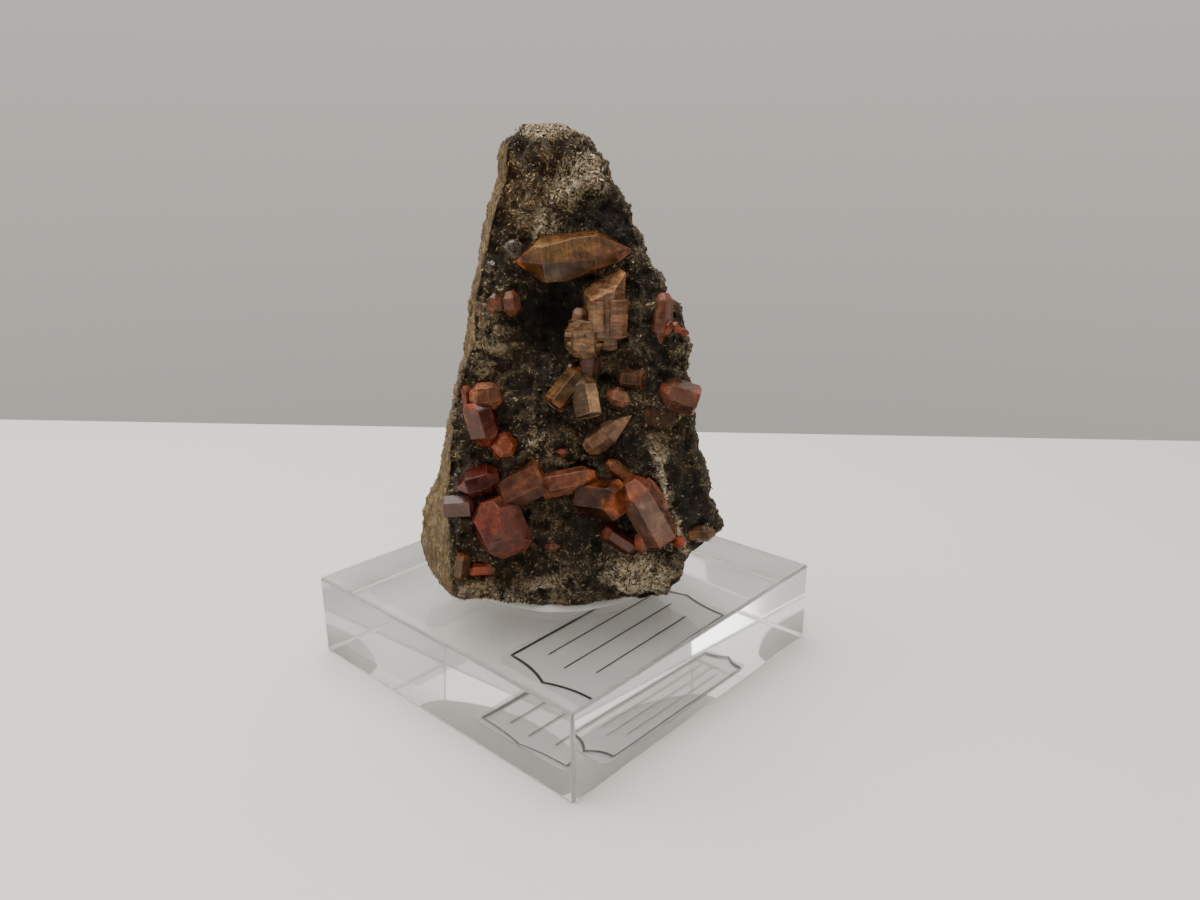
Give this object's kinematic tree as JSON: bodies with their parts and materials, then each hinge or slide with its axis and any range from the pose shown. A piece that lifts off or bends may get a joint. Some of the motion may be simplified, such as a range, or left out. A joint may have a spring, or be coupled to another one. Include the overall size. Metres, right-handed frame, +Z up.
{
  "type": "vanadinite on matrix",
  "caption": "Tall wedge of dark rock with red-brown hexagonal crystals on its front face, cemented upright on a square clear display block.",
  "frame": {"origin": "centre of the block's underside, on the surface it stands on", "axes": "+Z up; -Y is the display side, which the crystal face looks towards and one corner of the block points to; +X to the right seen from that side"},
  "size_m": [0.0716, 0.0716, 0.0736],
  "materials": {
    "clear_block": "clear polished acrylic, see-through",
    "clear_film": "thin clear adhesive film, thin dark printed border and plain ruled lines on one sheet",
    "white_pad": "set white mounting putty, satin",
    "brown_rock": "rough granular dark brown to black rock with tan and ochre grains, tan left flank",
    "red_crystal": "resinous, slightly see-through, orange-brown to dark red",
    "clear_nodule": "rough colourless to greyish crystal"
  },
  "bodies": {
    "root": {"base_block": "clear_block", "label_film": "clear_film", "blank_film": "clear_film", "mounting_pad": "white_pad", "matrix": "brown_rock", "clear_nodule_lower": "clear_nodule", "clear_nodule_upper": "clear_nodule", "crystal_bead_orange": "red_crystal", "crystal_cluster_left": "red_crystal", "crystal_cluster_lower": "red_crystal", "crystal_cluster_middle": "red_crystal", "crystal_cluster_right_edge": "red_crystal", "crystal_cluster_right_upper": "red_crystal", "crystal_dark_double": "red_crystal", "crystal_large_horizontal": "red_crystal", "crystal_left_prism": "red_crystal", "crystal_oval_red": "red_crystal", "crystal_pair_bottom_left": "red_crystal", "crystal_pair_upper_left": "red_crystal", "crystal_right_foot": "red_crystal", "crystal_short_brown": "red_crystal", "crystal_sliver_orange": "red_crystal", "crystal_small_oval": "red_crystal", "crystal_spear_red": "red_crystal"}
  },
  "joints": []
}
